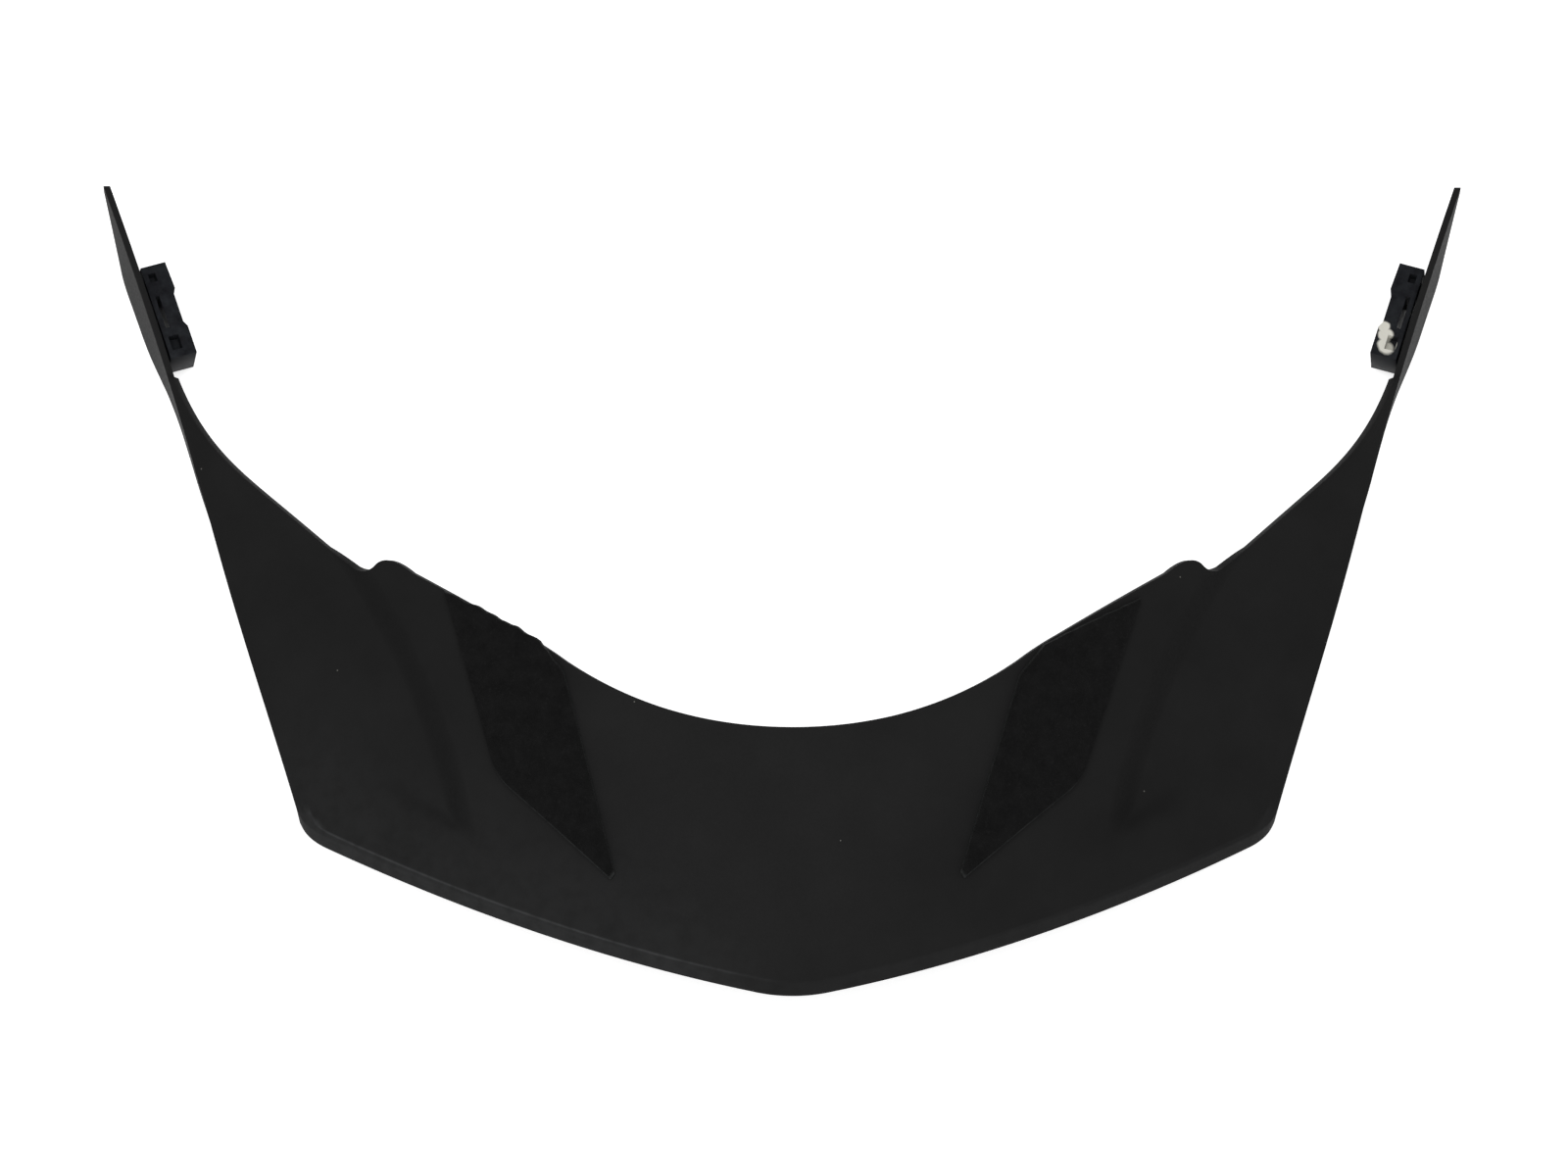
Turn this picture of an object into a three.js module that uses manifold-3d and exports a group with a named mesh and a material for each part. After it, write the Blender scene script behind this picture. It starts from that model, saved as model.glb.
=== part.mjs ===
// Clip-on visor (peak) of a cycling helmet: one thin moulded shell with a long pointed arm on each side,
// a felt patch stuck to each half of the brim, and a screwed-on nylon clip inside each arm.
// Millimetres. +X is the wearer's right, +Y runs back from the nose to the arm tips, and +Z is up.
// The visor stands on its two front corners and on the lower edges of its arms.
import * as THREE from "three";
import { mergeVertices } from "three/addons/utils/BufferGeometryUtils.js";
import Module from "manifold-3d";

const wasm = await Module();
wasm.setup();

// ---- driving dimensions -------------------------------------------------------------------------

const DEGREE = Math.PI / 180;

// Side line: the brim's outer edge, carried on by the arm's upper outer corner.
const CORNER_X = 82.2; // half width of the brim at its front corners
const CORNER_Y = -38;
const SIDE_SPLAY = 0.292; // sideways growth of the side line for each millimetre back
const ARM_BEND_Y = 22; // from here back the arm bends gently outward
const ARM_BEND = 0.00064;
const SIDE_BOW = 0.55; // outward bow of the side line at mid length, and how far it reaches each way
const SIDE_BOW_REACH = 24;

// Heights of the upper surface.
const CORNER_HEIGHT = 3.2;
const EDGE_RISE = 0.09; // climb of the side line for each millimetre back
const NOSE_Y = -73.6;
const CROWN_AT_NOSE = 21; // height of the arch above the side line, at the nose
const CROWN_RISE = 0.186;
const ARCH_POWER = 2.2; // 2 is a parabola, and more makes the arch squarer

// Wing scoop: a shallow dish outside the fold that runs from the rear notch towards the front.
const SCOOP_DEPTH = 2.4;
const SCOOP_FADE_POWER = 6;
const FOLD_X = 55;
const FOLD_Y = -43;
const FOLD_SLOPE = 0.2;
const FOLD_CURVE = 0.0047;
const FOLD_WIDTH = 4.2;
const SCOOP_FRONT_SLOPE = 0.43;
const SCOOP_FRONT_DROP = 3;
const SCOOP_RUNOUT = 4.5; // length of the scoop's front slope, at the fold
const SCOOP_RUNOUT_GROWTH = 0.4; // and its growth for each millimetre outward

// Brim sheet and its turned-down front rim.
const SHEET = 1.6;
const RIM_WIDTH = 1.8;
const RIM_DROP = 1.7;
const RIM_ROWS = 3;
const BRIM_ROWS = 15;

// Arm plates.
const ARM_THICKNESS = 1.2;
const ARM_START_Y = 12;
const ARM_TIP_Y = 71.5;
const ARM_LEAN = 0.11; // outward lean of the plate for each millimetre down, at the clip
const LEAN_START_Y = 30;
const LEAN_FULL_Y = 50;
const ARM_ROWS = 2;
const ARM_PROUD = 0.12; // the plate stands this far outside and below the brim's thin edge
const PROUD_RUN = 10; // and grows out of that edge over this length

// Clips and their screws.
const CLIP_Y = 49.9; // middle of the clip along the arm
const CLIP_LENGTH = 17.2;
const CLIP_DEPTH = 4.6;
const CLIP_HEIGHT = 7;
const CLIP_BELOW_EDGE = 1.2; // the clip's top lies this far below the arm's upper edge
const RECESS_DEPTH = 0.5;
const RECESS_LENGTH = 5.2;
const RECESS_RAMP = 1;
const SLOT_WIDTH = 0.7;
const SLOT_LENGTH = 6;
const SLOT_FROM_ARM = 1.45;
const POCKET_DEPTH = 2.2;
const FRONT_POCKET = { along: 2.6, across: 1.8, at: -5.9 };
const REAR_POCKET = { along: 1.6, across: 1.3, at: 6.4 };
const SCREW_SPACING = 11.8;
const SCREW_DROP = 1.2; // the screws lie this far below the clip's mid height
const SCREW_RADIUS = 0.85;
const SCREW_LENGTH = 3.4;
const HEAD_RADIUS = 1.5;
const HEAD_HEIGHT = 0.9;
const HEAD_SINK = 1.2;
const DRIVE_WIDTH = 0.4;
const DRIVE_LENGTH = 1.7;
const DRIVE_DEPTH = 0.45;
const BOSS_RADIUS = 1.5;
const BOSS_HEIGHT = 1.1;
const ROUND_SIDES = 24;

// Felt patches and their adhesive backings.
const BACKING_THICKNESS = 0.3;
const PATCH_THICKNESS = 0.7;
const BACKING_GROWTH = 1.03; // the backing shows as a narrow border round the felt
const PATCH_ROWS = 12;

const TOUCH_GAP = 0.25; // clearance kept between pieces that touch on the real object
const HOLE_GAP = 0.15;

// ---- shape of the upper surface -----------------------------------------------------------------

const smooth = (t) => THREE.MathUtils.smoothstep(t, 0, 1);

// Half width of the visor at a given y.
function sideX(y) {
  const bend = Math.max(0, y - ARM_BEND_Y);
  const bow = SIDE_BOW * Math.exp(-((y / SIDE_BOW_REACH) ** 2));
  return CORNER_X + SIDE_SPLAY * (y - CORNER_Y) + ARM_BEND * bend * bend + bow;
}

// Height of the side line at a given y.
const edgeZ = (y) => CORNER_HEIGHT + EDGE_RISE * (y - CORNER_Y);

// Depth of the wing scoop: full outside the fold, fading to nothing at the front and at the side line.
function scoopDepth(x, y, share) {
  const back = y - FOLD_Y;
  const foldX = FOLD_X + FOLD_SLOPE * back + FOLD_CURVE * back * back;
  const frontY = FOLD_Y - SCOOP_FRONT_DROP + SCOOP_FRONT_SLOPE * (x - FOLD_X);
  const outside = smooth((x - foldX) / FOLD_WIDTH + 0.5);
  const runout = SCOOP_RUNOUT + SCOOP_RUNOUT_GROWTH * Math.max(0, x - FOLD_X);
  const behind = smooth((y - frontY) / runout);
  return SCOOP_DEPTH * outside * behind * (1 - share ** SCOOP_FADE_POWER);
}

// Height of the upper surface, an arch across the brim with a scoop in each wing.
function topZ(x, y) {
  const share = Math.min(1, Math.abs(x) / sideX(y));
  const crown = CROWN_AT_NOSE + CROWN_RISE * (y - NOSE_Y);
  return edgeZ(y) + crown * (1 - share ** ARCH_POWER) - scoopDepth(Math.abs(x), y, share);
}

// Upward normal of the upper surface.
function topNormal(x, y) {
  const step = 0.05;
  const slopeX = (topZ(x + step, y) - topZ(x - step, y)) / (2 * step);
  const slopeY = (topZ(x, y + step) - topZ(x, y - step)) / (2 * step);
  return new THREE.Vector3(-slopeX, -slopeY, 1).normalize();
}

// ---- helpers ------------------------------------------------------------------------------------

// Points along a path, with a chosen number of divisions on each of its curves.
function samples(path, divisions) {
  const points = [path.curves[0].getPoint(0)];
  path.curves.forEach((curve, n) => {
    for (let i = 1; i <= divisions[n]; i++) points.push(curve.getPointAt(i / divisions[n]));
  });
  return points;
}

// A closed plate of columns x rows cells whose vertices are placed by place(column, row, upper).
function bentPlate(columns, rows, place) {
  const plate = new THREE.BoxGeometry(columns, rows, 1, columns, rows, 1);
  const position = plate.getAttribute("position");
  for (let n = 0; n < position.count; n++) {
    const column = Math.round(position.getX(n) + columns / 2);
    const row = Math.round(position.getY(n) + rows / 2);
    const at = place(column, row, position.getZ(n) > 0);
    position.setXYZ(n, at.x, at.y, at.z);
  }
  return plate;
}

// The same solid on the other side of the plane x = 0, with its faces still pointing out.
function mirrored(geometry) {
  const other = geometry.clone().scale(-1, 1, 1);
  const index = other.index.array;
  for (let n = 0; n < index.length; n += 3) [index[n], index[n + 1]] = [index[n + 1], index[n]];
  return other;
}

function toSolid(geometry) {
  const bare = geometry.clone();
  bare.deleteAttribute("normal");
  bare.deleteAttribute("uv");
  const merged = mergeVertices(bare, 1e-4);
  return new wasm.Manifold(new wasm.Mesh({
    numProp: 3,
    vertProperties: merged.getAttribute("position").array,
    triVerts: new Uint32Array(merged.index.array),
  }));
}

function toGeometry(solid) {
  const mesh = solid.getMesh();
  const geometry = new THREE.BufferGeometry();
  geometry.setAttribute("position", new THREE.BufferAttribute(mesh.vertProperties, 3));
  geometry.setIndex(new THREE.BufferAttribute(mesh.triVerts, 1));
  return geometry;
}

function addMesh(parent, name, geometry, material) {
  const shown = geometry.toNonIndexed();
  shown.computeVertexNormals();
  const mesh = new THREE.Mesh(shown, material);
  mesh.name = name;
  parent.add(mesh);
  return mesh;
}

// A cylinder along X, from one x to another, centred on (y, z).
function crossRod(radius, fromX, toX, y, z) {
  const rod = new THREE.CylinderGeometry(radius, radius, toX - fromX, ROUND_SIDES);
  return rod.rotateZ(Math.PI / 2).translate((fromX + toX) / 2, y, z);
}

// ---- materials ----------------------------------------------------------------------------------

const plastic = new THREE.MeshStandardMaterial({ color: 0x222324, roughness: 0.62, metalness: 0 });
const felt = new THREE.MeshStandardMaterial({ color: 0x151515, roughness: 0.95, metalness: 0 });
const adhesive = new THREE.MeshStandardMaterial({ color: 0x303132, roughness: 0.5, metalness: 0 });
const nylon = new THREE.MeshStandardMaterial({ color: 0x1c1f24, roughness: 0.35, metalness: 0 });
const steel = new THREE.MeshStandardMaterial({ color: 0x55585c, roughness: 0.4, metalness: 1 });

// ---- visor shell --------------------------------------------------------------------------------

// Right half of the front edge in plan: flat nose, long shallow bow, rounded front corner.
function frontEdge() {
  return new THREE.Path()
    .moveTo(0, NOSE_Y)
    .quadraticCurveTo(3.4, NOSE_Y, 6.5, -72.9)
    .quadraticCurveTo(42, -65.6, 77.6, -43.1)
    .quadraticCurveTo(81.3, -40.8, CORNER_X, CORNER_Y);
}

// Right half of the rear edge in plan: brow arc, knee, straight, bump and notch, then the horn that
// sweeps back along the arm.
function rearEdge() {
  return new THREE.Path()
    .moveTo(0, -31)
    .quadraticCurveTo(21.2, -31, 38, -18.8)
    .quadraticCurveTo(41, -16.4, 45, -13.9)
    .lineTo(63.4, -1.8)
    .quadraticCurveTo(67.6, 2.2, 69.6, 0.4)
    .quadraticCurveTo(71, -0.9, 73.2, 0.9)
    .lineTo(86.2, 13.7)
    .bezierCurveTo(93.9, 21.3, 99.7, 26.8, 104.3, 39);
}

const REAR_DIVISIONS = [8, 2, 6, 5, 4, 5, 9];

// Plan position of a brim grid point: columns run across, row 0 is the front edge, the next rows turn
// over the rim to its crease, and the rest run back evenly to the rear edge.
function brimPlan() {
  const rear = samples(rearEdge(), REAR_DIVISIONS);
  const front = frontEdge();
  const lengths = rear.map((p, n) => (n ? p.distanceTo(rear[n - 1]) : 0));
  const total = lengths.reduce((sum, length) => sum + length, 0);
  let run = 0;
  const lines = rear.map((end, n) => {
    run += lengths[n];
    const start = front.getPointAt(Math.min(1, run / total));
    const last = n === rear.length - 1;
    return {
      startY: start.y,
      endY: end.y,
      startShare: last ? 1 : start.x / sideX(start.y),
      endShare: last ? 1 : end.x / sideX(end.y),
      length: start.distanceTo(end),
    };
  });
  return (column, row) => {
    const line = lines[column];
    const back = row <= RIM_ROWS
      ? (RIM_WIDTH * row) / RIM_ROWS
      : RIM_WIDTH + ((line.length - RIM_WIDTH) * (row - RIM_ROWS)) / BRIM_ROWS;
    const t = back / line.length;
    const y = THREE.MathUtils.lerp(line.startY, line.endY, t);
    const x = THREE.MathUtils.lerp(line.startShare, line.endShare, t) * sideX(y);
    return { x, y, back };
  };
}

function brimSheet() {
  const half = REAR_DIVISIONS.reduce((sum, n) => sum + n, 0);
  const plan = brimPlan();
  return bentPlate(2 * half, RIM_ROWS + BRIM_ROWS, (column, row, upper) => {
    const side = Math.sign(column - half);
    const { x, y, back } = plan(Math.abs(column - half), row);
    const turned = RIM_DROP * Math.max(0, 1 - back / RIM_WIDTH);
    const at = new THREE.Vector3(x, y, topZ(x, y) - turned);
    if (!upper) at.addScaledVector(topNormal(x, y), -SHEET);
    return at.setX(at.x * side);
  });
}

// Side view of the arm's lower edge: it falls from the brim to a flat foot under the clip, then climbs
// to the pointed tip.
function armLowerEdge() {
  return new THREE.Path()
    .moveTo(ARM_START_Y, 6.7)
    .lineTo(38, 2.1)
    .quadraticCurveTo(44, 0, 47, 0)
    .lineTo(56.5, 0)
    .quadraticCurveTo(59.5, 0, 61, 1.8)
    .lineTo(ARM_TIP_Y, edgeZ(ARM_TIP_Y) - 1.4);
}

function leanAt(y) {
  return ARM_LEAN * smooth((y - LEAN_START_Y) / (LEAN_FULL_Y - LEAN_START_Y));
}

// Right arm: a leaf-shaped plate that hangs from the side line and leans outward going down.
function armPlate() {
  const lower = samples(armLowerEdge(), [7, 3, 2, 2, 6]);
  const columns = lower.length - 1;
  return bentPlate(columns, ARM_ROWS, (column, row, outer) => {
    const foot = lower[column];
    const topY = THREE.MathUtils.lerp(ARM_START_Y, ARM_TIP_Y + 0.6, column / columns);
    const t = row / ARM_ROWS;
    const y = THREE.MathUtils.lerp(foot.x, topY, t);
    const z = THREE.MathUtils.lerp(foot.y, edgeZ(topY) - ARM_PROUD, t);
    const proud = ARM_PROUD * (2 * smooth((y - ARM_START_Y) / PROUD_RUN) - 1);
    const face = sideX(y) + proud + leanAt(y) * (edgeZ(y) - z);
    const x = outer ? face : face - ARM_THICKNESS;
    return new THREE.Vector3(x, y, z);
  });
}

// The clip's own frame on the right arm: X points outward from the arm's inner face, Y runs back along
// the arm, and the origin is the middle of the clip's height on that face.
function clipFrame() {
  const splay = Math.atan(SIDE_SPLAY + 2 * ARM_BEND * (CLIP_Y - ARM_BEND_Y));
  const midZ = edgeZ(CLIP_Y) - CLIP_BELOW_EDGE - CLIP_HEIGHT / 2;
  const outward = leanAt(CLIP_Y) * (edgeZ(CLIP_Y) - midZ) - ARM_THICKNESS / Math.cos(splay);
  const frame = new THREE.Group();
  frame.position.set(sideX(CLIP_Y) + outward, CLIP_Y, midZ);
  frame.rotation.set(0, -Math.atan(ARM_LEAN), -splay, "ZYX");
  frame.updateMatrixWorld();
  return frame;
}

const screwPlaces = [
  { name: "front", y: -SCREW_SPACING / 2 },
  { name: "rear", y: SCREW_SPACING / 2 },
];

// Two short bosses on the arm's inner face, each with a blind pilot hole for a clip screw.
function withBosses(arm) {
  const frame = clipFrame();
  let solid = arm;
  for (const { y } of screwPlaces) {
    const boss = crossRod(BOSS_RADIUS, -BOSS_HEIGHT, ARM_THICKNESS / 2, y, -SCREW_DROP);
    const reach = SCREW_LENGTH - (CLIP_DEPTH - HEAD_SINK + TOUCH_GAP - HOLE_GAP);
    const pilot = crossRod(SCREW_RADIUS + HOLE_GAP, -2 * BOSS_HEIGHT, reach, y, -SCREW_DROP);
    solid = solid.add(toSolid(boss.applyMatrix4(frame.matrixWorld)));
    solid = solid.subtract(toSolid(pilot.applyMatrix4(frame.matrixWorld)));
  }
  return toGeometry(solid);
}

function visorShell() {
  const arm = withBosses(toSolid(armPlate()));
  return toGeometry(toSolid(brimSheet()).add(toSolid(arm)).add(toSolid(mirrored(arm))));
}

// ---- felt patches -------------------------------------------------------------------------------

// Patch outline for the right side, about its own middle: a short rear edge, a rounded outer front
// corner and a long blunt point. Its front and rear edges span the same columns.
const patchFront = new THREE.Path()
  .moveTo(-15.4, -26.6)
  .lineTo(-14.7, -27.5)
  .lineTo(1.6, -11.8)
  .quadraticCurveTo(3.8, -9.7, 4.6, -6.8);
const patchRear = new THREE.Path()
  .moveTo(-7.2, 5.6)
  .lineTo(-3.4, 11)
  .lineTo(12.4, 21);
const PATCH_FRONT_DIVISIONS = [1, 5, 3];
const PATCH_REAR_DIVISIONS = [3, 6];

// Each patch was stuck on by hand, so the two sides differ a little in place and turn.
const patchPlaces = [
  { name: "left", side: -1, x: 45.1, y: -26.5, turn: 0 },
  { name: "right", side: 1, x: 44.75, y: -27.2, turn: -2.9 * DEGREE },
];

// A thin plate that follows the brim between two heights above it.
function patchPlate(place, growth, low, high) {
  const front = samples(patchFront, PATCH_FRONT_DIVISIONS);
  const rear = samples(patchRear, PATCH_REAR_DIVISIONS);
  const plate = bentPlate(front.length - 1, PATCH_ROWS, (column, row, upper) => {
    const flat = front[column].clone().lerp(rear[column], row / PATCH_ROWS).multiplyScalar(growth);
    flat.rotateAround(new THREE.Vector2(), place.turn).add(place);
    const at = new THREE.Vector3(flat.x, flat.y, topZ(flat.x, flat.y));
    return at.addScaledVector(topNormal(flat.x, flat.y), upper ? high : low);
  });
  return place.side > 0 ? plate : mirrored(plate);
}

function addPatches(visor) {
  const felted = TOUCH_GAP + BACKING_THICKNESS + TOUCH_GAP;
  for (const place of patchPlaces) {
    const backing = patchPlate(place, BACKING_GROWTH, TOUCH_GAP, TOUCH_GAP + BACKING_THICKNESS);
    addMesh(visor, `patch_backing_${place.name}`, backing, adhesive);
    addMesh(visor, `felt_patch_${place.name}`, patchPlate(place, 1, felted, felted + PATCH_THICKNESS), felt);
  }
}

// ---- clips --------------------------------------------------------------------------------------

// Plan outline of the clip: a block against the arm with a shallow recess in its inboard face and a
// narrow slot behind that recess.
function clipOutline() {
  const near = -TOUCH_GAP;
  const far = near - CLIP_DEPTH;
  const end = CLIP_LENGTH / 2;
  const recess = RECESS_LENGTH / 2;
  const outline = new THREE.Shape()
    .moveTo(near, -end)
    .lineTo(near, end)
    .lineTo(far + 0.2, end)
    .lineTo(far, recess + RECESS_RAMP)
    .lineTo(far + RECESS_DEPTH, recess)
    .lineTo(far + RECESS_DEPTH, -recess)
    .lineTo(far, -recess - RECESS_RAMP)
    .lineTo(far, -end);
  const slot = new THREE.Path()
    .moveTo(-SLOT_FROM_ARM - SLOT_WIDTH / 2, -SLOT_LENGTH / 2)
    .lineTo(-SLOT_FROM_ARM - SLOT_WIDTH / 2, SLOT_LENGTH / 2)
    .lineTo(-SLOT_FROM_ARM + SLOT_WIDTH / 2, SLOT_LENGTH / 2)
    .lineTo(-SLOT_FROM_ARM + SLOT_WIDTH / 2, -SLOT_LENGTH / 2);
  outline.holes.push(slot);
  return outline;
}

function pocket({ along, across, at }) {
  const box = new THREE.BoxGeometry(across, along, 2 * POCKET_DEPTH);
  return box.translate(-SLOT_FROM_ARM - across / 4, at, CLIP_HEIGHT / 2);
}

function clipBody() {
  const block = new THREE.ExtrudeGeometry(clipOutline(), { depth: CLIP_HEIGHT, bevelEnabled: false });
  block.translate(0, 0, -CLIP_HEIGHT / 2);
  const inboard = -TOUCH_GAP - CLIP_DEPTH;
  let solid = toSolid(block);
  for (const hollow of [FRONT_POCKET, REAR_POCKET]) solid = solid.subtract(toSolid(pocket(hollow)));
  for (const { y } of screwPlaces) {
    const sink = crossRod(HEAD_RADIUS + HOLE_GAP, inboard - 1, inboard + HEAD_SINK, y, -SCREW_DROP);
    const bore = crossRod(SCREW_RADIUS + HOLE_GAP, inboard, 0, y, -SCREW_DROP);
    const seat = crossRod(BOSS_RADIUS + HOLE_GAP, -BOSS_HEIGHT - TOUCH_GAP, 1, y, -SCREW_DROP);
    for (const cut of [sink, bore, seat]) solid = solid.subtract(toSolid(cut));
  }
  return toGeometry(solid);
}

// A small pan-head screw along X with a cross recess; its head sits in the clip's counterbore.
function clipScrew() {
  const seat = -TOUCH_GAP - CLIP_DEPTH + HEAD_SINK - HOLE_GAP;
  let solid = toSolid(crossRod(HEAD_RADIUS, seat - HEAD_HEIGHT, seat, 0, 0));
  solid = solid.add(toSolid(crossRod(SCREW_RADIUS, seat - HEAD_HEIGHT / 2, seat + SCREW_LENGTH, 0, 0)));
  for (const [wide, tall] of [[DRIVE_WIDTH, DRIVE_LENGTH], [DRIVE_LENGTH, DRIVE_WIDTH]]) {
    const slot = new THREE.BoxGeometry(2 * DRIVE_DEPTH, wide, tall);
    solid = solid.subtract(toSolid(slot.translate(seat - HEAD_HEIGHT, 0, 0)));
  }
  return toGeometry(solid);
}

function addClips(visor) {
  for (const [name, mirror] of [["left", -1], ["right", 1]]) {
    const side = new THREE.Group();
    side.scale.x = mirror;
    const frame = clipFrame();
    side.add(frame);
    visor.add(side);
    addMesh(frame, `clip_${name}`, clipBody(), nylon);
    for (const place of screwPlaces) {
      const screw = addMesh(frame, `clip_screw_${name}_${place.name}`, clipScrew(), steel);
      screw.position.set(0, place.y, -SCREW_DROP);
    }
  }
}

// ---- assembly -----------------------------------------------------------------------------------

const visor = new THREE.Group();
visor.name = "helmet_visor";
addMesh(visor, "visor_shell", visorShell(), plastic);
addPatches(visor);
addClips(visor);

// The frame's origin is the middle of the bottom of the visor's box.
const box = new THREE.Box3().setFromObject(visor);
const middle = box.getCenter(new THREE.Vector3());
visor.position.set(-middle.x, -middle.y, -box.min.z);

export default visor;
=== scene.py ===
"""Looks of a clip-on cycling helmet visor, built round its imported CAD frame.

The visor is a matt black moulded shell (brim and two arms) with a felt patch on adhesive film on each
half of the brim, and a satin nylon clip held by two small screws inside each arm. Shapes are worked out
in millimetres in the brim's own plan frame, and each finished mesh is put into the row frame in metres.
"""

import logging
import math
from collections.abc import Callable, Iterable, Sequence
from dataclasses import dataclass, field, replace
from enum import Enum

import bmesh
import bpy
import numpy as np
from mathutils import Matrix, Vector, noise


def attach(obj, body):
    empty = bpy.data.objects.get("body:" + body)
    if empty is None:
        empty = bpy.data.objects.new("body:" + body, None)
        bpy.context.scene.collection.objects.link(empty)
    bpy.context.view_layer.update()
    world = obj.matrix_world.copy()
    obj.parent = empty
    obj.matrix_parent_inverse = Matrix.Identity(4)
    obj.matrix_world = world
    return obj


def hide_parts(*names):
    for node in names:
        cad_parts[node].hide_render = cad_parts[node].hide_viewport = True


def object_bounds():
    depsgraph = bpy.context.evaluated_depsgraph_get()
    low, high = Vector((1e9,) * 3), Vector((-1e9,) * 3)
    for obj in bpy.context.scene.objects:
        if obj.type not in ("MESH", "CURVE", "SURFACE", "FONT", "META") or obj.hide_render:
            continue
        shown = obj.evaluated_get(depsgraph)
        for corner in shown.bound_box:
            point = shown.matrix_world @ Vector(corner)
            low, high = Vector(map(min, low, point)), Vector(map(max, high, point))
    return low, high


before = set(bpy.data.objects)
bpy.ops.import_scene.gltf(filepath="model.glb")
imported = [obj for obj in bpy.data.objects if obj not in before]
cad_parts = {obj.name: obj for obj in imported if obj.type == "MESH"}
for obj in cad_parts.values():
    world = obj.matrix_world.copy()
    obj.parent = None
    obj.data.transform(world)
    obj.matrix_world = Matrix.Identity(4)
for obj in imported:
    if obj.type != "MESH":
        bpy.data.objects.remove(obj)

CAD_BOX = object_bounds()
MM = 0.001
ROOT_BODY = "root"
WHITE = (1.0, 1.0, 1.0, 1.0)
WELD = 0.002  # millimetres within which two points of a CAD mesh are one
FLAT_TURN = 1.0  # degrees between two CAD facets that belong to one flat face
SHARP_TURN = 50.0  # degrees that an edge turns where only the real edges are to be rounded
log = logging.getLogger("helmet_visor")

Span = tuple[float, float]
Curve = tuple[tuple[float, float], ...]
FULL: Span = (0.0, 1.0)


class Side(Enum):
    """The two sides of the visor, as the wearer has them."""

    LEFT = -1
    RIGHT = 1

    @property
    def label(self) -> str:
        """The side's name in lower case, as node names have it."""
        return self.name.lower()


# ---- lines and surfaces ----


def smooth(share: float) -> float:
    """Rises smoothly from 0 to 1 as share goes from 0 to 1.

    Args:
        share: Place along the rise, which is held between 0 and 1.

    Returns:
        The height of the rise, from 0 to 1.
    """
    held = min(1.0, max(0.0, share))
    return held * held * (3.0 - 2.0 * held)


def bell(share: float) -> float:
    """Rises from 0 to 1 and falls back to 0 as share goes from 0 to 1.

    Args:
        share: Place along the bell, from 0 to 1.

    Returns:
        The height there, from 0 to 1.
    """
    return 4.0 * share * (1.0 - share)


class Path:
    """A line of straight parts and Bezier curves, measured along its length."""

    STEPS = 200

    def __init__(self, *curves: Curve) -> None:
        """Keeps a fine polyline of each curve.

        Args:
            curves: The control points of each part, two for a straight line and up to four.
        """
        shares = np.linspace(0.0, 1.0, self.STEPS + 1)[:, None]
        self.parts = [self._drawn(curve, shares) for curve in curves]

    @staticmethod
    def _drawn(curve: Curve, shares: np.ndarray) -> np.ndarray:
        """Points of one Bezier curve.

        Args:
            curve: Its control points.
            shares: A column of places along it, from 0 to 1.

        Returns:
            One row of x and y for each place.
        """
        layers = [np.array(point) * np.ones_like(shares) for point in curve]
        while len(layers) > 1:
            layers = [a + (b - a) * shares for a, b in zip(layers, layers[1:])]
        return layers[0]

    @staticmethod
    def _spread(points: np.ndarray, places: Iterable[float]) -> list[Vector]:
        """Points at shares of a polyline's length.

        Args:
            points: The polyline.
            places: Shares of its length, from 0 to 1.

        Returns:
            The points, as 2-D vectors.
        """
        steps = np.hypot(*np.diff(points, axis=0).T)
        run = np.concatenate([[0.0], np.cumsum(steps)])
        wanted = np.array(list(places)) * run[-1]
        pairs = zip(np.interp(wanted, run, points[:, 0]), np.interp(wanted, run, points[:, 1]))
        return [Vector(pair) for pair in pairs]

    def samples(self, divisions: Sequence[int]) -> list[Vector]:
        """Points that divide each part evenly.

        Args:
            divisions: How many divisions each part gets.

        Returns:
            The points from the path's start to its end.
        """
        found = self._spread(self.parts[0], [0.0])
        for part, count in zip(self.parts, divisions):
            found += self._spread(part, [n / count for n in range(1, count + 1)])
        return found

    def at(self, places: Iterable[float]) -> list[Vector]:
        """Points at shares of the whole path's length, from 0 to 1."""
        return self._spread(np.concatenate(self.parts), places)


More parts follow.
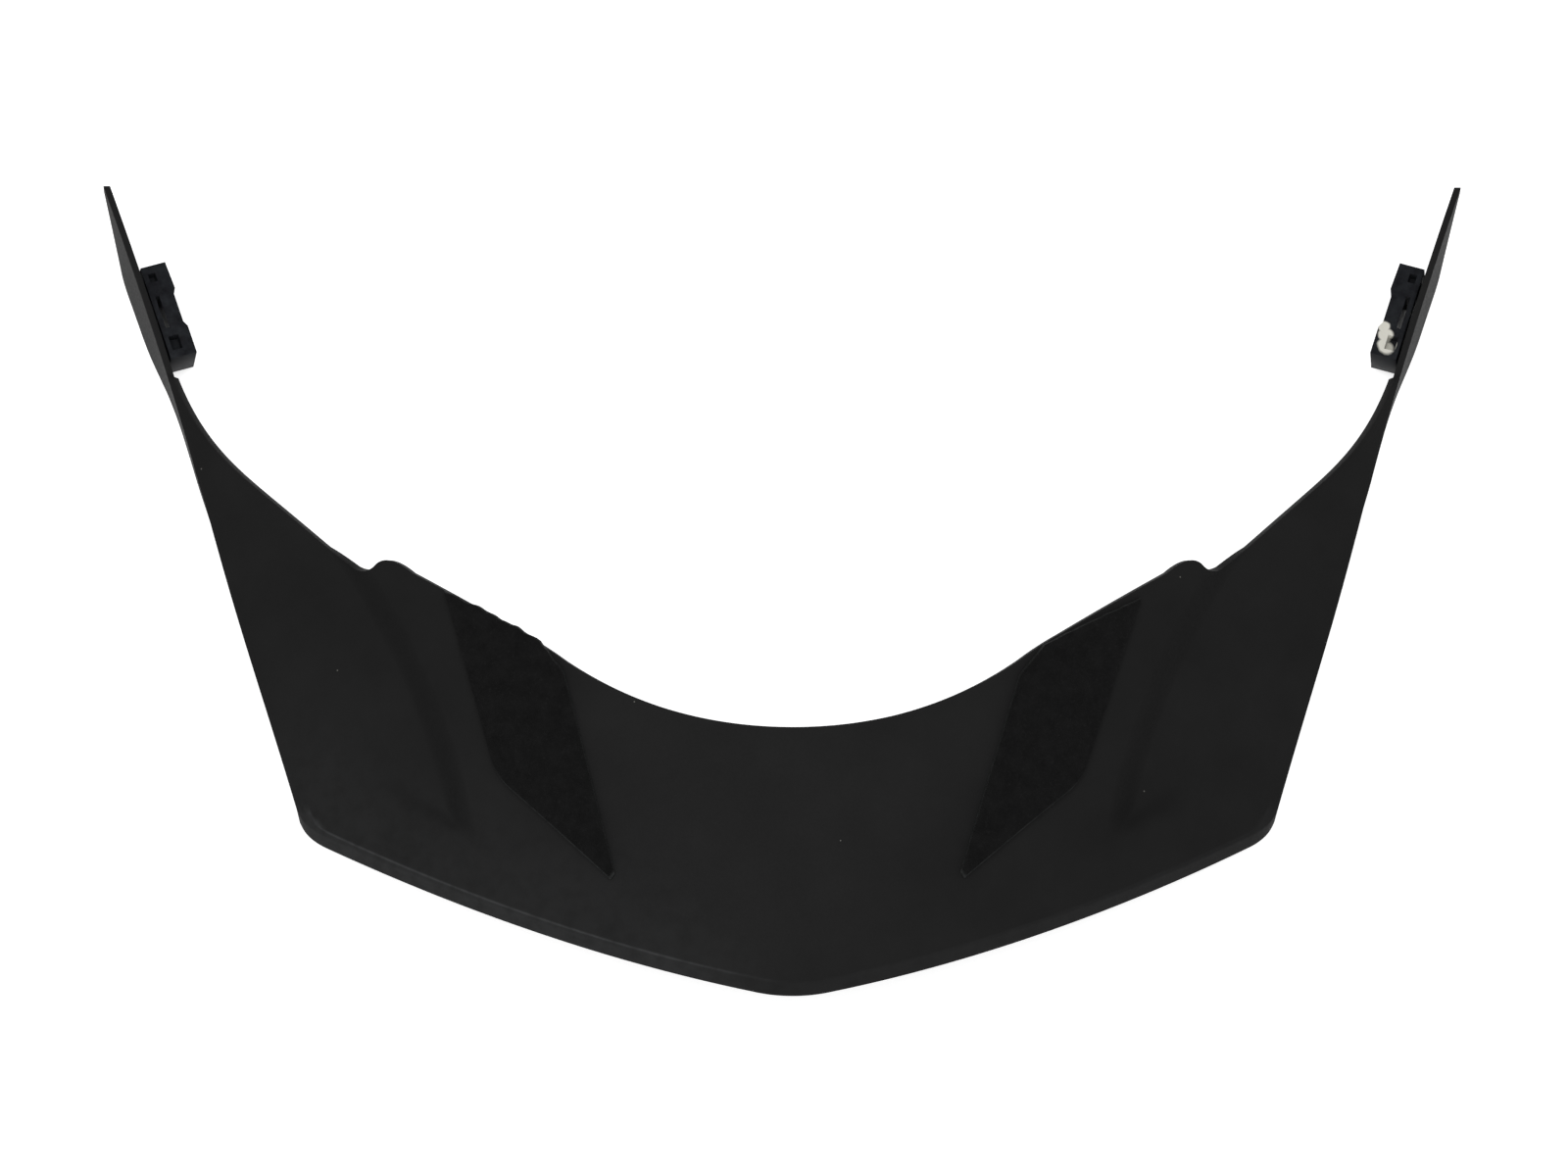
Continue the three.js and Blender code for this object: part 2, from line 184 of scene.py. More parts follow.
@dataclass(frozen=True)
class VisorForm:
    """The curved upper surface that the brim, the arms and the patches all follow, in millimetres."""

    corner_x: float = 82.2
    corner_y: float = -38.0
    side_splay: float = 0.292
    arm_bend_y: float = 22.0
    arm_bend: float = 0.00064
    side_bow: float = 0.55
    side_bow_reach: float = 24.0
    corner_height: float = 3.2
    edge_rise: float = 0.09
    nose_y: float = -73.6
    crown_at_nose: float = 21.0
    crown_rise: float = 0.186
    arch_power: float = 2.2
    scoop_depth: float = 2.4
    scoop_fade_power: float = 6.0
    fold_x: float = 55.0
    fold_y: float = -43.0
    fold_slope: float = 0.2
    fold_curve: float = 0.0047
    fold_width: float = 4.2
    fold_fade: float = 7.0  # the painted shade on the dish's front step is whole this far out, and gone at twice this
    front_step_shade: float = 0.5  # how dark the painted shade on the front step is, against the fold's
    scoop_front_slope: float = 0.43
    scoop_front_drop: float = 3.0
    scoop_runout: float = 4.5
    scoop_runout_growth: float = 0.4
    arm_tip_y: float = 72.1
    slope_step: float = 0.05

    def side_x(self, y: float) -> float:
        """Half width of the visor at y."""
        bend = max(0.0, y - self.arm_bend_y)
        bow = self.side_bow * math.exp(-((y / self.side_bow_reach) ** 2))
        return self.corner_x + self.side_splay * (y - self.corner_y) + self.arm_bend * bend * bend + bow

    def edge_z(self, y: float) -> float:
        """Height of the side line at y."""
        return self.corner_height + self.edge_rise * (y - self.corner_y)

    def scoop(self, x: float, y: float, share: float) -> float:
        """Depth of the dish in each wing, outside the moulded fold.

        Args:
            x: Distance from the middle plane.
            y: Place along the visor.
            share: x as a share of the half width.

        Returns:
            How far the surface is sunk.
        """
        outside, behind = self.in_scoop(x, y)
        return self.scoop_depth * outside * behind * (1.0 - share**self.scoop_fade_power)

    def in_scoop(self, x: float, y: float) -> tuple[float, float]:
        """How far into the dish a point of the plan is.

        Args:
            x: Distance from the middle plane.
            y: Place along the visor.

        Returns:
            How far past the fold and how far behind the dish's front it is, each from 0 to 1.
        """
        back = y - self.fold_y
        fold_x = self.fold_x + self.fold_slope * back + self.fold_curve * back * back
        front_y = self.fold_y - self.scoop_front_drop + self.scoop_front_slope * (x - self.fold_x)
        runout = self.scoop_runout + self.scoop_runout_growth * max(0.0, x - self.fold_x)
        return smooth((x - fold_x) / self.fold_width + 0.5), smooth((y - front_y) / runout)

    def fold_shade(self, x: float, y: float) -> float:
        """How much painted shade a point of the plan gets, in the fold and along the front step of the
        dish.

        Args:
            x: Distance from the middle plane.
            y: Place along the visor.

        Returns:
            From 0 on open ground to 1 in the middle of the fold.
        """
        outside, behind = self.in_scoop(x, y)
        kept = smooth(2.0 - (x - self.fold_x) / self.fold_fade)
        step = self.front_step_shade * bell(behind) * outside * kept
        return max(math.sqrt(bell(outside)) * behind, step)

    def top_z(self, x: float, y: float) -> float:
        """Height of the upper surface over a point of the plan."""
        share = min(1.0, abs(x) / self.side_x(y))
        crown = self.crown_at_nose + self.crown_rise * (y - self.nose_y)
        arch = crown * (1.0 - share**self.arch_power)
        return self.edge_z(y) + arch - self.scoop(abs(x), y, share)

    def normal(self, x: float, y: float) -> Vector:
        """Upward normal of the upper surface over a point of the plan."""
        step = self.slope_step
        slope_x = (self.top_z(x + step, y) - self.top_z(x - step, y)) / (2 * step)
        slope_y = (self.top_z(x, y + step) - self.top_z(x, y - step)) / (2 * step)
        return Vector((-slope_x, -slope_y, 1.0)).normalized()

    def row_shift(self) -> Vector:
        """The step from the plan frame to the row frame: the arm tips end at the CAD box's back."""
        return Vector((0.0, CAD_BOX[1].y / MM - self.arm_tip_y, 0.0))


FORM = VisorForm()


# ---- mesh helpers ----


def grid(columns: int, rows: int, place: Callable[[int, int], Vector]) -> bmesh.types.BMesh:
    """A grid whose vertices are laid out by a rule.

    Args:
        columns: Cells along the first direction.
        rows: Cells along the second.
        place: Gives the place of the vertex at a column and row.

    Returns:
        The open surface.
    """
    mesh = bmesh.new()
    bmesh.ops.create_grid(mesh, x_segments=columns, y_segments=rows, size=1.0)
    for vertex in mesh.verts:
        column = round((vertex.co.x + 1.0) / 2.0 * columns)
        row = round((vertex.co.y + 1.0) / 2.0 * rows)
        vertex.co = place(column, row)
    return mesh


def thicken(mesh: bmesh.types.BMesh, step: Callable[[Vector], Vector]) -> list[bmesh.types.BMVert]:
    """Turns an open surface into a closed plate by extruding a moved copy of it.

    Args:
        mesh: The surface.
        step: How far the copy of each point moves.

    Returns:
        The vertices of the moved copy.
    """
    made = bmesh.ops.extrude_face_region(mesh, geom=mesh.faces[:])
    moved = [item for item in made["geom"] if isinstance(item, bmesh.types.BMVert)]
    for vertex in moved:
        vertex.co += step(vertex.co)
    bmesh.ops.recalc_face_normals(mesh, faces=mesh.faces[:])
    return moved


def soften(mesh: bmesh.types.BMesh, radius: float, segments: int = 2, least: float = 40.0) -> None:
    """Rounds every edge that turns sharply.

    Args:
        mesh: The closed shape.
        radius: Width of the rounding on each face.
        segments: How many facets the rounding has.
        least: Smallest turn in degrees that counts as an edge.
    """
    sharp = [e for e in mesh.edges if e.is_manifold and e.calc_face_angle(0.0) > math.radians(least)]
    bmesh.ops.bevel(
        mesh,
        geom=sharp,
        offset=radius,
        offset_type="OFFSET",
        segments=segments,
        profile=0.5,
        affect="EDGES",
        material=-1,
        clamp_overlap=True,
    )


def to_left(mesh: bmesh.types.BMesh) -> None:
    """Turns a right-hand shape into its left-hand twin, in place.

    Args:
        mesh: The closed shape.
    """
    bmesh.ops.scale(mesh, vec=Vector((-1.0, 1.0, 1.0)), verts=mesh.verts[:])
    bmesh.ops.reverse_faces(mesh, faces=mesh.faces[:])


def from_node(node: str) -> bmesh.types.BMesh:
    """A merged copy of a CAD node's mesh, in the plan frame.

    Args:
        node: The node's name.

    Returns:
        The copy, with its flat faces joined up.
    """
    mesh = bmesh.new()
    mesh.from_mesh(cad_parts[node].data)
    bmesh.ops.scale(mesh, vec=Vector((1.0, 1.0, 1.0)) / MM, verts=mesh.verts[:])
    bmesh.ops.translate(mesh, vec=-FORM.row_shift(), verts=mesh.verts[:])
    bmesh.ops.remove_doubles(mesh, verts=mesh.verts[:], dist=WELD)
    bmesh.ops.dissolve_limit(
        mesh, angle_limit=math.radians(FLAT_TURN), verts=mesh.verts[:], edges=mesh.edges[:]
    )
    return mesh


def piece(
    mesh: bmesh.types.BMesh,
    name: str,
    material: bpy.types.Material,
    nodes: Sequence[str],
    crease: float = 35.0,
) -> bpy.types.Object:
    """Puts a finished mesh into the scene as a piece of the object.

    Args:
        mesh: The shape, in millimetres in the plan frame; it is freed here.
        name: The piece's name.
        material: Its finish.
        nodes: The CAD nodes it stands for.
        crease: Turn in degrees past which shading breaks.

    Returns:
        The new object.
    """
    bmesh.ops.translate(mesh, vec=FORM.row_shift(), verts=mesh.verts[:])
    bmesh.ops.scale(mesh, vec=Vector((MM, MM, MM)), verts=mesh.verts[:])
    data = bpy.data.meshes.new(name)
    mesh.to_mesh(data)
    mesh.free()
    data.shade_smooth()
    data.set_sharp_from_angle(angle=math.radians(crease))
    data.materials.append(material)
    made = bpy.data.objects.new(name, data)
    bpy.context.scene.collection.objects.link(made)
    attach(made, ROOT_BODY)
    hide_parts(*nodes)
    log.info("%s: %d faces, in place of %s", name, len(data.polygons), ", ".join(nodes))
    return made


# ---- finishes ----


def linear(code: str) -> tuple[float, float, float, float]:
    """Turns an sRGB hex colour into linear RGBA.

    Args:
        code: Six hex digits.

    Returns:
        Linear red, green, blue and an alpha of 1.
    """
    values = [int(code[n : n + 2], 16) / 255.0 for n in (0, 2, 4)]
    red, green, blue = (v / 12.92 if v <= 0.04045 else ((v + 0.055) / 1.055) ** 2.4 for v in values)
    return red, green, blue, 1.0


def per_metre(size: float) -> float:
    """Pattern scale that makes one repeat as long as size, in millimetres.

    Args:
        size: Length of one repeat.

    Returns:
        Repeats in each metre.
    """
    return 1.0 / (size * MM)


def add_node(
    material: bpy.types.Material, kind: str, links: dict | None = None, **settings: object
) -> bpy.types.ShaderNode:
    """Adds a shader node with its settings and its links.

    Args:
        material: The material whose tree gets the node.
        kind: The node's type name, without the ShaderNode prefix.
        links: For each input, by name or number, the output socket that feeds it.
        settings: Attributes of the node; inputs is a dict of plain values for its sockets.

    Returns:
        The new node.
    """
    made = material.node_tree.nodes.new("ShaderNode" + kind)
    values = settings.pop("inputs", {})
    for name, value in settings.items():
        setattr(made, name, value)
    for name, value in values.items():
        made.inputs[name].default_value = value
    for name, source in (links or {}).items():
        material.node_tree.links.new(source, made.inputs[name])
    return made


def new_material(name: str) -> tuple[bpy.types.Material, bpy.types.ShaderNode]:
    """An empty node material.

    Args:
        name: The material's name.

    Returns:
        The material and its Principled shader.
    """
    made = bpy.data.materials.new(name)
    made.use_nodes = True
    return made, made.node_tree.nodes["Principled BSDF"]


def dress(
    material: bpy.types.Material,
    shader: bpy.types.ShaderNode,
    inputs: dict[str, bpy.types.NodeSocket | float | tuple],
) -> bpy.types.Material:
    """Sets a shader's inputs.

    Args:
        material: The material that has the shader.
        shader: Its shader.
        inputs: For each input's name, a plain value or the socket that feeds it.

    Returns:
        The finished material.
    """
    for name, source in inputs.items():
        if isinstance(source, bpy.types.NodeSocket):
            material.node_tree.links.new(source, shader.inputs[name])
        else:
            shader.inputs[name].default_value = source
    return material


def noise_of(
    material: bpy.types.Material, size: float, detail: float = 2.0, roughness: float = 0.5
) -> bpy.types.NodeSocket:
    """Noise on object coordinates.

    Args:
        material: The material that gets it.
        size: Size of one blotch, in millimetres.
        detail: How many finer layers it has.
        roughness: How strong those layers are.

    Returns:
        The noise's value socket.
    """
    where = add_node(material, "TexCoord").outputs["Object"]
    values = {"Scale": per_metre(size), "Detail": detail, "Roughness": roughness}
    made = add_node(material, "TexNoise", {"Vector": where}, inputs=values)
    return made.outputs["Fac"]


def between(
    material: bpy.types.Material,
    value: bpy.types.NodeSocket,
    source: Span,
    target: Span,
) -> bpy.types.NodeSocket:
    """Stretches one range of values onto another.

    Args:
        material: The material that gets the node.
        value: The value to stretch.
        source: The range it comes in.
        target: The range it leaves in; values outside are held at its ends.

    Returns:
        The stretched value's socket.
    """
    ranges = dict(zip(("From Min", "From Max", "To Min", "To Max"), (*source, *target)))
    return add_node(material, "MapRange", {"Value": value}, inputs=ranges).outputs["Result"]


def blend_colours(
    material: bpy.types.Material,
    share: bpy.types.NodeSocket,
    first: bpy.types.NodeSocket | tuple,
    second: bpy.types.NodeSocket | tuple,
) -> bpy.types.NodeSocket:
    """Mixes two colours.

    Args:
        material: The material that gets the node.
        share: How much of the second colour shows.
        first: A colour, or a socket that gives one.
        second: The other colour or socket.

    Returns:
        The mixed colour's socket.
    """
    made = add_node(material, "Mix", {0: share}, data_type="RGBA")
    for socket, colour in ((made.inputs[6], first), (made.inputs[7], second)):
        if isinstance(colour, tuple):
            socket.default_value = colour
        else:
            material.node_tree.links.new(colour, socket)
    return made.outputs[2]


def times(
    material: bpy.types.Material, first: bpy.types.NodeSocket, second: bpy.types.NodeSocket
) -> bpy.types.NodeSocket:
    """Multiplies two values.

    Args:
        material: The material that gets the node.
        first: One value's socket.
        second: The other's.

    Returns:
        The product's socket.
    """
    made = add_node(material, "Math", {0: first, 1: second}, operation="MULTIPLY")
    return made.outputs[0]


def bump(
    material: bpy.types.Material,
    height: bpy.types.NodeSocket,
    depth: float,
    strength: float,
) -> bpy.types.NodeSocket:
    """Relief from a height.

    Args:
        material: The material that gets the node.
        height: The height's socket, from 0 to 1.
        depth: Full depth of the relief, in millimetres.
        strength: How much of it shows, from 0 to 1.

    Returns:
        The bent normal's socket.
    """
    values = {"Distance": depth * MM, "Strength": strength}
    return add_node(material, "Bump", {"Height": height}, inputs=values).outputs["Normal"]


@dataclass(frozen=True)
class MouldedPolypropylene:
    """Matt black polypropylene, moulded against a fine spark-eroded tool face.

    The tool face leaves an even fine grain that scatters the light, so the plastic is near black with a
    weak broad sheen. A painted highlight lightens the rim's crest and a painted sheen its face and the band
    behind, more on the left; painted shade darkens the fold and front step of each dish; and a few specks
    of pale dust cling to the rest.
    """

    deep: str = "1d1d1d"
    plain: str = "212121"
    # colour of the painted highlight and painted sheen along the front rim
    highlight_colour: str = "4a4b4c"
    dust: str = "6c6b67"
    # colour of the painted shade in the fold of each dish
    fold_shade_colour: str = "121212"
    roughness: Span = (0.5, 0.62)
    specular: float = 0.04
    grain: float = 0.45  # the real grain is about 0.1 mm, and is drawn this coarse to show at all
    grain_range: Span = (0.3, 0.7)
    grain_depth: float = 0.05
    grain_strength: float = 0.35
    cloud: float = 17.0
    cloud_range: Span = (0.32, 0.68)
    rub_patch: float = 2.4
    rub_range: Span = (0.3, 0.6)
    rub_share: Span = (0.45, 1.0)  # how much of the marked painted highlight shows in its faint and its full patches
    speck_spacing: float = 12.0
    speck_radius: float = 0.13
    speck_core: float = 0.6  # share of its radius over which a speck is solid
    speck_free: float = 0.75  # share of the scattered cells that have no speck
    # mesh attributes that carry the painted highlight on the rim and the painted shade in each dish
    wear: str = "wear"
    fold_shade: str = "fold_shade"

    def made(self) -> bpy.types.Material:
        """Builds the material."""
        material, shader = new_material("moulded_polypropylene_matt_black")
        grain = noise_of(material, self.grain, 3.0)
        cloud = noise_of(material, self.cloud, 4.0, 0.6)
        shade = between(material, cloud, self.cloud_range, FULL)
        colour = blend_colours(material, shade, linear(self.deep), linear(self.plain))
        # Painted shade: the fold and the front step of each dish are darkened towards a deeper black.
        fold_shade_mask = add_node(material, "Attribute", attribute_name=self.fold_shade).outputs["Fac"]
        colour = blend_colours(material, fold_shade_mask, colour, linear(self.fold_shade_colour))
        # Painted highlight on the rim's crest and painted sheen on its face and the band behind, in
        # patches.
        highlight_mask = add_node(material, "Attribute", attribute_name=self.wear).outputs["Fac"]
        patchy = between(material, noise_of(material, self.rub_patch, 3.0), self.rub_range, self.rub_share)
        brightened = times(material, highlight_mask, patchy)
        colour = blend_colours(material, brightened, colour, linear(self.highlight_colour))
        colour = blend_colours(material, self._specks(material), colour, linear(self.dust))
        inputs = {
            "Base Color": colour,
            "Roughness": between(material, grain, self.grain_range, self.roughness),
            "Specular IOR Level": self.specular,
            "Normal": bump(material, grain, self.grain_depth, self.grain_strength),
        }
        return dress(material, shader, inputs)

    def _specks(self, material: bpy.types.Material) -> bpy.types.NodeSocket:
        """Mask of the few dust specks: small discs in some of the cells of a scattered pattern."""
        where = add_node(material, "TexCoord").outputs["Object"]
        values = {"Scale": per_metre(self.speck_spacing)}
        cells = add_node(
            material, "TexVoronoi", {"Vector": where}, voronoi_dimensions="2D", inputs=values
        )
        edge = self.speck_radius / self.speck_spacing
        disc = between(material, cells.outputs["Distance"], (edge * self.speck_core, edge), (1.0, 0.0))
        lot = {0: cells.outputs["Color"]}
        chosen = add_node(material, "Math", lot, operation="GREATER_THAN", inputs={1: self.speck_free})
        return times(material, disc, chosen.outputs[0])


@dataclass(frozen=True)
class NeedledFelt:
    """Black needled polyester felt, cut from sheet.

    Its loose fibres hold the light, so it is darker than the plastic and mottled, with a faint painted
    highlight on the raised tufts where fibre ends stand up.
    """

    deep: str = "090909"
    plain: str = "101010"
    # colour of the painted highlight on the raised tufts
    fibre: str = "1d1d1d"
    mottle: float = 2.6
    mottle_range: Span = (0.35, 0.65)
    tuft: float = 0.55  # fibres are about 0.03 mm thick, and are drawn as tufts this wide
    lit_range: Span = (0.55, 0.75)
    lit_share: Span = (0.0, 0.6)
    roughness: float = 0.95
    specular: float = 0.15
    sheen: float = 0.02
    sheen_roughness: float = 0.5
    pile_depth: float = 0.25
    pile_strength: float = 0.8

    def made(self) -> bpy.types.Material:
        """Builds the material."""
        material, shader = new_material("needled_polyester_felt_black")
        mottle = noise_of(material, self.mottle, 4.0, 0.65)
        tuft = noise_of(material, self.tuft, 4.0, 0.7)
        shade = between(material, mottle, self.mottle_range, FULL)
        colour = blend_colours(material, shade, linear(self.deep), linear(self.plain))
        # painted highlight on the raised tufts of the pile
        lit = between(material, tuft, self.lit_range, self.lit_share)
        colour = blend_colours(material, lit, colour, linear(self.fibre))
        inputs = {
            "Base Color": colour,
            "Roughness": self.roughness,
            "Specular IOR Level": self.specular,
            "Sheen Weight": self.sheen,
            "Sheen Roughness": self.sheen_roughness,
            "Normal": bump(material, tuft, self.pile_depth, self.pile_strength),
        }
        return dress(material, shader, inputs)


@dataclass(frozen=True)
class AdhesiveFilm:
    """Double-sided acrylic adhesive film, whose narrow border round the felt has picked up grey dust."""

    clean: str = "1f2020"
    dusty: str = "2f3030"
    dust_patch: float = 1.1
    dust_range: Span = (0.35, 0.65)
    roughness: Span = (0.55, 0.75)
    specular: float = 0.1

    def made(self) -> bpy.types.Material:
        """Builds the material."""
        material, shader = new_material("acrylic_adhesive_film")
        dust = between(material, noise_of(material, self.dust_patch, 3.0), self.dust_range, FULL)
        colour = blend_colours(material, dust, linear(self.clean), linear(self.dusty))
        rough = between(material, dust, FULL, self.roughness)
        inputs = {"Base Color": colour, "Roughness": rough, "Specular IOR Level": self.specular}
        return dress(material, shader, inputs)


@dataclass(frozen=True)
class GlassFilledNylon:
    """Blue-black glass-filled nylon from a polished tool.

    The skin is satin with faint flow clouds, so it reads glossier and cooler than the shell. A pale
    whitish dab lightens one corner of the right clip.
    """

    deep: str = "18181b"
    plain: str = "27292c"
    glue: str = "d9d7cd"
    roughness: Span = (0.3, 0.44)
    specular: float = 0.02
    flow: float = 1.7
    flow_range: Span = (0.3, 0.7)
    ripple: float = 0.5
    ripple_depth: float = 0.04
    ripple_strength: float = 0.25
    dab_at: tuple[tuple[float, float, float], ...] = (
        (102.9, 44.7, 9.4),
        (102.7, 46.5, 9.6),
        (102.5, 48.0, 9.8),
    )
    dab_radii: tuple[float, ...] = (1.8, 1.4, 1.1)
    dab_flatness: float = 0.35  # heights count this much against widths, so the dab runs down the pocket
    dab_core: float = 0.75  # share of its radius over which the dab is solid
    dab_ragged: float = 2.2
    dab_ragged_range: Span = (0.9, 1.12)

    def made(self) -> bpy.types.Material:
        """Builds the material."""
        material, shader = new_material("glass_filled_nylon_satin")
        flow = noise_of(material, self.flow, 4.0, 0.6)
        shade = between(material, flow, self.flow_range, FULL)
        colour = blend_colours(material, shade, linear(self.deep), linear(self.plain))
        dab = self._dab(material)
        colour = blend_colours(material, dab, colour, linear(self.glue))
        ripples = noise_of(material, self.ripple, 2.0)
        inputs = {
            "Base Color": colour,
            "Roughness": between(material, flow, self.flow_range, self.roughness),
            "Specular IOR Level": self.specular,
            "Normal": bump(material, ripples, self.ripple_depth, self.ripple_strength),
        }
        return dress(material, shader, inputs)

    def _dab(self, material: bpy.types.Material) -> bpy.types.NodeSocket:
        """Mask of the pale dab: a round dab that trails off to the rear, with a slightly ragged edge."""
        here = add_node(material, "TexCoord").outputs["Object"]
        squash = Vector((1.0, 1.0, self.dab_flatness))
        where = add_node(material, "VectorMath", {0: here}, operation="MULTIPLY", inputs={1: squash})
        edge = noise_of(material, self.dab_ragged, 2.0)
        ragged = between(material, edge, self.flow_range, self.dab_ragged_range)
        masks = []
        for place, radius in zip(self.dab_at, self.dab_radii):
            centre = (Vector(place) + FORM.row_shift()) * MM * squash
            flat = {0: where.outputs["Vector"]}
            away = add_node(material, "VectorMath", flat, operation="DISTANCE", inputs={1: centre})
            reach = times(material, away.outputs["Value"], ragged)
            rim = (radius * self.dab_core * MM, radius * MM)
            masks.append(between(material, reach, rim, (1.0, 0.0)))
        joined = masks[0]
        for mask in masks[1:]:
            joined = add_node(material, "Math", {0: joined, 1: mask}, operation="MAXIMUM").outputs[0]
        return joined


@dataclass(frozen=True)
class BlackenedSteel:
    """Small blackened steel screws, bright where the driver has scuffed the cross recess."""

    dark: str = "3a3c40"
    bright: str = "8a8c90"
    rub_patch: float = 0.6
    rub_range: Span = (0.5, 0.75)
    rub_share: Span = (0.0, 0.7)
    roughness: Span = (0.42, 0.28)  # from the dark skin to the rubbed metal

    def made(self) -> bpy.types.Material:
        """Builds the material."""
        material, shader = new_material("blackened_steel")
        brightened = between(material, noise_of(material, self.rub_patch, 3.0), self.rub_range, self.rub_share)
        colour = blend_colours(material, brightened, linear(self.dark), linear(self.bright))
        rough = between(material, brightened, self.rub_share, self.roughness)
        return dress(material, shader, {"Base Color": colour, "Metallic": 1.0, "Roughness": rough})


# ---- shell ----


@dataclass
class Brim:
    """The arched sheet of the visor, with its turned-down front rim and its two scooped wings."""

    finish: bpy.types.Material
    sheet: float = 1.6
    rim_width: float = 1.8
    rim_drop: float = 1.7
    crest_round: float = 0.12
    crest_height: float = 0.06
    crest_width: float = 0.25
    rim_reach: float = 3.2
    rim_rows: int = 20
    rows: int = 64
    edge_radius: float = 0.35
    edge_facets: int = 3
    seam: float = 0.01  # the two halves join where their points are this close
    # Strengths of the painted highlight on the crest and of the painted sheen on the rim's face and the
    # band behind; the right side gets only a faint sheen on the face.
    crest_highlight: float = 0.6
    rim_sheen: float = 0.24
    band_sheen: float = 0.1
    right_sheen: float = 0.07
    band_reach: float = 14.0
    fold_shade_share: float = 0.65
    highlight_end: float = 82.3
    highlight_end_run: float = 2.0
    highlight_fade: Span = (5.0, 30.0)  # x where the left side's painted highlight starts, and its run
    highlight_half_width: float = 0.2  # half width of the painted highlight line on the crest
    sheen_reach: float = 0.15  # how far past the crest the painted sheen on the rim's face reaches, as it fades
    highlight_depth: float = 0.4  # how far below the rim's foot the painted highlight still counts
    front_points: int = 400
    fineness: int = 4
    divisions: tuple[int, ...] = (8, 2, 6, 5, 4, 5, 9)
    front: Path = field(
        default_factory=lambda: Path(
            ((0, -73.6), (3.4, -73.6), (6.5, -72.9)),
            ((6.5, -72.9), (42, -65.6), (77.6, -43.1)),
            ((77.6, -43.1), (81.3, -40.8), (82.2, -38)),
        )
    )
    rear: Path = field(
        default_factory=lambda: Path(
            ((0, -31), (21.2, -31), (38, -18.8)),
            ((38, -18.8), (41, -16.4), (45, -13.9)),
            ((45, -13.9), (63.4, -1.8)),
            ((63.4, -1.8), (67.6, 2.2), (69.6, 0.4)),
            ((69.6, 0.4), (71, -0.9), (73.2, 0.9)),
            ((73.2, 0.9), (86.2, 13.7)),
            ((86.2, 13.7), (93.9, 21.3), (99.7, 26.8), (104.3, 39)),
        )
    )

    def build(self) -> bpy.types.Object:
        """Builds the brim: half a grid, mirrored, thickened and rounded at its edges."""
        places = self._places()
        columns = self.fineness * sum(self.divisions)
        mesh = grid(columns, self.rows, lambda column, row: places[column][row])
        bmesh.ops.recalc_face_normals(mesh, faces=mesh.faces[:])
        half = mesh.verts[:] + mesh.edges[:] + mesh.faces[:]
        bmesh.ops.mirror(mesh, geom=half, axis="X", merge_dist=self.seam)
        thicken(mesh, lambda point: -self.sheet * FORM.normal(point.x, point.y))
        soften(mesh, self.edge_radius, self.edge_facets)
        self._mark_highlight(mesh)
        # painted shade in the fold and along the front step of each dish, kept as a mesh attribute
        fold_shade = mesh.verts.layers.float.new(MouldedPolypropylene.fold_shade)
        for vertex in mesh.verts:
            vertex[fold_shade] = self.fold_shade_share * FORM.fold_shade(abs(vertex.co.x), vertex.co.y)
        return piece(mesh, "visor_brim", self.finish, ["visor_shell"])

    def _places(self) -> list[list[Vector]]:
        """Places of the right half's grid points: a list of columns from the front edge to the rear."""
        rear = self.rear.samples([self.fineness * n for n in self.divisions])
        steps = [(b - a).length for a, b in zip(rear, rear[1:])]
        run = np.concatenate([[0.0], np.cumsum(steps)])
        front = self.front.at(run / run[-1])
        last = len(rear) - 1
        return [self._column(a, b, n == last) for n, (a, b) in enumerate(zip(front, rear))]

    def _column(self, start: Vector, end: Vector, outermost: bool) -> list[Vector]:
        """Points of one column.

        Args:
            start: Its front end in plan.
            end: Its rear end in plan.
            outermost: True for the column that runs along the side line.

        Returns:
            The points on the upper surface, from front to rear.
        """
        length = (end - start).length
        shares = [1.0, 1.0] if outermost else [p.x / FORM.side_x(p.y) for p in (start, end)]
        found = []
        for row in range(self.rows + 1):
            back = self.rim_reach * row / self.rim_rows
            if row > self.rim_rows:
                left = (row - self.rim_rows) / (self.rows - self.rim_rows)
                back = self.rim_reach + (length - self.rim_reach) * left
            part = back / length
            y = start.y + (end.y - start.y) * part
            x = (shares[0] + (shares[1] - shares[0]) * part) * FORM.side_x(y)
            found.append(Vector((x, y, FORM.top_z(x, y) - self._turned(back))))
        return found

    def _turned(self, back: float) -> float:
        """How far the rim is turned down, with a soft crest where it meets the brim.

        Args:
            back: Distance back from the front edge.

        Returns:
            The drop below the upper surface, which is a little below 0 on the crest.
        """
        ramp = 1.0 - back / self.rim_width
        drop = 0.5 * (ramp + math.hypot(ramp, self.crest_round)) * self.rim_drop
        crest = math.exp(-(((back - self.rim_width) / self.crest_width) ** 2))
        return drop - self.crest_height * crest

    def _mark_highlight(self, mesh: bmesh.types.BMesh) -> None:
        """Marks the painted highlight on the rim's crest and the painted sheen on its face and the band
        behind.

        Args:
            mesh: The finished brim, in the plan frame.
        """
        layer = mesh.verts.layers.float.new(MouldedPolypropylene.wear)
        line = self.front.at(np.linspace(0.0, 1.0, self.front_points))
        points = np.array([(p.x, p.y) for p in line])
        start, run = self.highlight_fade
        for vertex in mesh.verts:
            near = np.hypot(points[:, 0] - abs(vertex.co.x), points[:, 1] - vertex.co.y).min()
